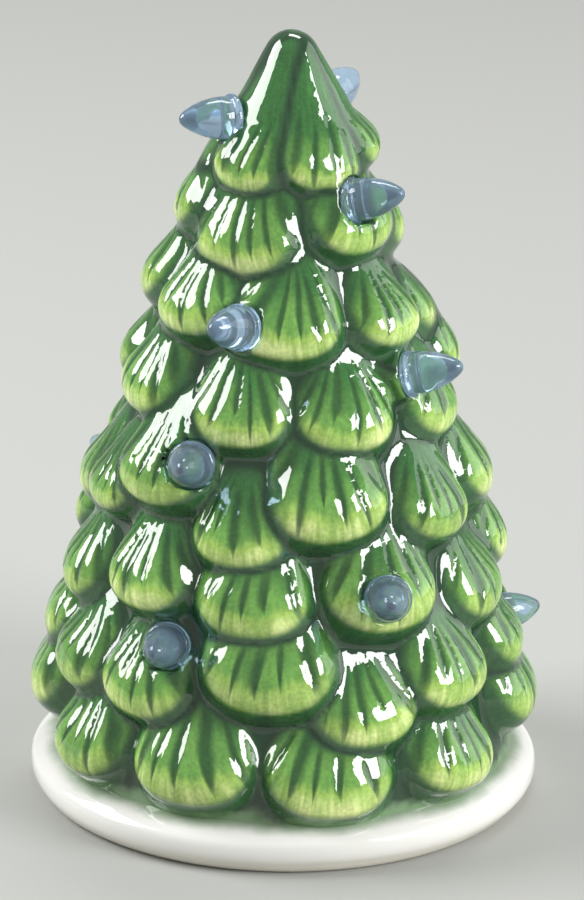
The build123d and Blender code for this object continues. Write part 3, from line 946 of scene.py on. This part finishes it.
def white_glaze():
    """White stoneware glaze: a glassy white, creamy at the foot, stained by the green that ran down."""
    material, tree, surface = shader("white_stoneware_glaze")
    place = add(tree, "ShaderNodeTexCoord", output="Object")
    level = add(tree, "ShaderNodeSeparateXYZ", (place,), "Z")
    gap = add(tree, "ShaderNodeAttribute", output="Fac", attribute_name="bough_gap")
    wander = add(tree, NOISE, {"Vector": place, "Scale": blobs(STAIN_SIZE), "Detail": 3.0})
    wander = add(tree, MATH, (wander, 0.5), operation="SUBTRACT")
    ran = add(tree, MATH, (wander, STAIN_SWAY, gap), operation="MULTIPLY_ADD")
    ran = add(tree, RANGE, (ran, 0.0, STAIN_REACH, *FALL), **S_CURVE)
    whitens = [height * MM for height in CREAM_LEVELS]
    body = linear("#E6E0D2")
    for share, colour in (
        (add(tree, RANGE, (level, *whitens), **S_CURVE), "#E0DFDB"),
        (add(tree, MATH, (ran, 0.75), operation="MULTIPLY"), "#56804C"),
    ):
        inputs = {"Factor": share, COLOUR_A: body, COLOUR_B: linear(colour)}
        body = add(tree, MIX, inputs, COLOUR_OUT, data_type="RGBA")
    lumps = add(tree, NOISE, {"Vector": place, "Scale": blobs(BASE_LUMP_SIZE), "Detail": 2.0})
    lumps = add(tree, BUMP, {"Height": lumps, "Strength": 0.3, "Distance": BASE_LUMP_RISE * MM})
    connect(tree, surface, {"Base Color": body, "Normal": lumps, "Roughness": 0.08})
    connect(tree, surface, {"Coat Weight": 0.6, "Coat Roughness": 0.04})
    return material


def peg_plastic():
    """Clear moulded plastic with a faint blue tint: it bends what lies behind it, with a patchy haze."""
    material, tree, surface = shader("clear_blue_plastic")
    place = add(tree, "ShaderNodeTexCoord", output="Object")
    haze = add(tree, NOISE, {"Vector": place, "Scale": blobs(HAZE_SIZE), "Detail": 2.0})
    haze = add(tree, RANGE, (haze, *NOISE_RANGE, *HAZE_ROUGHNESS), **S_CURVE)
    connect(tree, surface, {"Base Color": linear("#BCD8F2"), "Roughness": haze})
    connect(tree, surface, {"Transmission Weight": 0.86, "IOR": 1.49})
    return material


def worked(name, code, rough, grain, metal, depth):
    """A plain worked surface: its colour and gloss drift a little, over a fine grain of that size."""
    material, tree, surface = shader(name)
    place = add(tree, "ShaderNodeTexCoord", output="Object")
    drift = add(tree, NOISE, {"Vector": place, "Scale": blobs(grain * DRIFT_GRAINS), "Detail": 3.0})
    fine = add(tree, NOISE, {"Vector": place, "Scale": blobs(grain), "Detail": 2.0})
    shade = linear(code)
    darker = [c * DARK_SHARE for c in shade[:3]] + [1.0]
    inputs = {"Factor": drift, COLOUR_A: darker, COLOUR_B: shade}
    body = add(tree, MIX, inputs, COLOUR_OUT, data_type="RGBA")
    limits = (rough * (1 - GLOSS_CHANGE), rough * (1 + GLOSS_CHANGE))
    gloss = add(tree, RANGE, (drift, *NOISE_RANGE, *limits), **S_CURVE)
    bump = add(tree, BUMP, {"Height": fine, "Strength": 0.4, "Distance": depth * MM})
    connect(tree, surface, {"Base Color": body, "Roughness": gloss, "Normal": bump, "Metallic": metal})
    return material


def peg_lathe(material):
    """A node tree that turns the peg's section and stands it at a seat, along a direction."""
    tree = bpy.data.node_groups.new("peg_lathe", "GeometryNodeTree")
    sockets = {}
    for name, kind in (("Seat", "Vector"), ("Direction", "Vector"), ("Length", "Float"), ("Radius", "Float")):
        socket = tree.interface.new_socket(name, in_out="INPUT", socket_type="NodeSocket" + kind)
        sockets[name] = socket.identifier
    tree.interface.new_socket("Peg", in_out="OUTPUT", socket_type="NodeSocketGeometry")
    given = add(tree, "NodeGroupInput").node.outputs
    size = {"Size X": 1.0, "Size Y": 1.0}
    count = {"Vertices X": PEG_TURN_STEPS + 1, "Vertices Y": PEG_SECTION_STEPS + 1}
    sheet = add(tree, "GeometryNodeMeshGrid", {**size, **count}, "Mesh")
    spot = add(tree, "GeometryNodeInputPosition")
    spot = add(tree, "ShaderNodeSeparateXYZ", (spot,)).node.outputs
    turn = add(tree, MATH, (spot["X"], 0.5), operation="ADD")
    turn = add(tree, MATH, (turn, 2 * math.pi), operation="MULTIPLY")
    way = add(tree, MATH, (spot["Y"], 0.5), operation="ADD")
    _, radii, heights = zip(*PEG_SECTION)
    bulb = PEG_BULB_STEP / PEG_SECTION_STEPS
    lines = []
    for column, low, high in ((1, 0.0, max(radii)), (2, min(heights), max(heights))):
        line = add(tree, "ShaderNodeFloatCurve", {"Value": way})
        mapping = line.node.mapping
        curve = mapping.curves[0]
        corners = [(row[0] / PEG_SECTION_STEPS, (row[column] - low) / (high - low)) for row in PEG_SECTION]
        curve.points[0].location = corners[0]
        curve.points[-1].location = corners[-1]
        for corner in corners[1:-1]:
            curve.points.new(*corner)
        for corner in curve.points:
            corner.handle_type = "AUTO_CLAMPED" if corner.location[0] > bulb else "VECTOR"
        mapping.update()
        lines.append(line)
    length = max(heights) - min(heights)
    radius = add(tree, MATH, (lines[0], given["Radius"]), operation="MULTIPLY")
    height = add(tree, MATH, (lines[1], min(heights) / length), operation="ADD")
    height = add(tree, MATH, (height, given["Length"]), operation="MULTIPLY")
    x = add(tree, MATH, (turn,), operation="COSINE")
    x = add(tree, MATH, (radius, x), operation="MULTIPLY")
    y = add(tree, MATH, (turn,), operation="SINE")
    y = add(tree, MATH, (radius, y), operation="MULTIPLY")
    place = add(tree, "ShaderNodeCombineXYZ", (x, y, height))
    peg = add(tree, "GeometryNodeSetPosition", {"Geometry": sheet, "Position": place})
    peg = add(tree, "GeometryNodeMergeByDistance", {"Geometry": peg, "Distance": PEG_SEAL * MM})
    aim = add(tree, "FunctionNodeAlignRotationToVector", {"Vector": given["Direction"]}, axis="Z")
    point = add(tree, "GeometryNodePoints", {"Count": 1, "Position": given["Seat"]})
    stood = {"Points": point, "Instance": peg, "Rotation": aim}
    peg = add(tree, "GeometryNodeInstanceOnPoints", stood)
    peg = add(tree, "GeometryNodeRealizeInstances", {"Geometry": peg})
    peg = add(tree, "GeometryNodeSetShadeSmooth", {"Geometry": peg})
    peg = add(tree, "GeometryNodeSetMaterial", {"Geometry": peg, "Material": material})
    add(tree, "NodeGroupOutput", {"Peg": peg})
    return tree, sockets, length * MM, max(radii) * MM


def light_pegs(material):
    """One plain mesh for each peg, on its own body."""
    tree, sockets, length, widest = peg_lathe(material)
    for body, seat, direction in PEGS:
        maker = bpy.data.objects.new("peg_maker", bpy.data.meshes.new("peg_maker"))
        bpy.context.scene.collection.objects.link(maker)
        modifier = maker.modifiers.new("lathe", "NODES")
        modifier.node_group = tree
        modifier[sockets["Seat"]] = [float(c) * MM for c in seat]
        modifier[sockets["Direction"]] = [float(c) for c in direction]
        modifier[sockets["Length"]] = length
        modifier[sockets["Radius"]] = widest
        ready = maker.evaluated_get(bpy.context.evaluated_depsgraph_get())
        mesh = bpy.data.meshes.new_from_object(ready)
        bpy.data.objects.remove(maker)
        peg = bpy.data.objects.new(body + "_clear", mesh)
        bpy.context.scene.collection.objects.link(peg)
        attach(peg, body)
        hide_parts(body)


def light_unit():
    """The light unit keeps its CAD shapes, and gets its materials."""
    finishes = {slot: worked(*finish) for slot, *finish in UNIT_FINISHES}
    for row in frame["record"]["subparts"]:
        if row["material_slot"] in finishes:
            data = frame["nodes"][row["node"]].data
            data.materials.clear()
            data.materials.append(finishes[row["material_slot"]])


def stage():
    """A plain floor of matt grey paper, which looks pale and even under soft boxes at both sides and
    overhead, a broad, dim one like a pale wall at the right, and an even pale surround."""
    corners = [(-1, -1, 0), (1, -1, 0), (1, 1, 0), (-1, 1, 0)]
    mesh = bpy.data.meshes.new("floor")
    mesh.from_pydata([Vector(corner) * FLOOR_HALF for corner in corners], [], [(0, 1, 2, 3)])
    floor = bpy.data.objects.new("floor", mesh)
    bpy.context.scene.collection.objects.link(floor)
    paper, tree, surface = shader("grey_paper")
    connect(tree, surface, {"Base Color": linear("#A3A4A1"), "Roughness": 0.85})
    mesh.materials.append(paper)
    for name, place, size, power in SOFT_BOXES:
        light = bpy.data.lights.new(name, "AREA")
        light.shape = "RECTANGLE"
        light.size, light.size_y = size
        light.energy = power
        lamp = bpy.data.objects.new(name, light)
        lamp.location = place
        aim = Vector(LIGHT_TARGET) - Vector(place)
        lamp.rotation_euler = aim.to_track_quat("-Z", "Y").to_euler()
        bpy.context.scene.collection.objects.link(lamp)
    world = bpy.data.worlds.new("surround")
    bpy.context.scene.world = world
    world.use_nodes = True
    back = world.node_tree.nodes["Background"]
    connect(world.node_tree, back, {"Color": linear("#CFD0CD"), "Strength": SURROUND_STRENGTH})


def camera():
    """The photograph's view: a long lens, a little above, turned slightly."""
    forward = Vector((0, math.cos(CAMERA_RISE), -math.sin(CAMERA_RISE)))
    flat, up = Vector((1, 0, 0)), Vector((0, math.sin(CAMERA_RISE), math.cos(CAMERA_RISE)))
    right = flat * math.cos(CAMERA_ROLL) + up * math.sin(CAMERA_ROLL)
    upward = up * math.cos(CAMERA_ROLL) - flat * math.sin(CAMERA_ROLL)
    data = bpy.data.cameras.new("camera")
    data.sensor_width = SENSOR_WIDTH
    data.lens = LENS
    data.clip_end = CLIP_END
    eye = bpy.data.objects.new("camera", data)
    turn = Matrix((right, upward, -forward)).transposed()
    place = Vector(CAMERA_TARGET) * MM - forward * CAMERA_DISTANCE
    eye.matrix_world = Matrix.Translation(place) @ turn.to_4x4()
    bpy.context.scene.collection.objects.link(eye)
    bpy.context.scene.camera = eye


boughs = tree_boughs()
boughs.data.materials.append(green_glaze())
base = snow_base()
base.data.materials.append(white_glaze())
for thing in (boughs, base):
    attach(thing, "tree")
    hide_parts("tree_shell")
light_pegs(peg_plastic())
light_unit()
stage()
camera()
bpy.context.scene.view_settings.view_transform = "Standard"
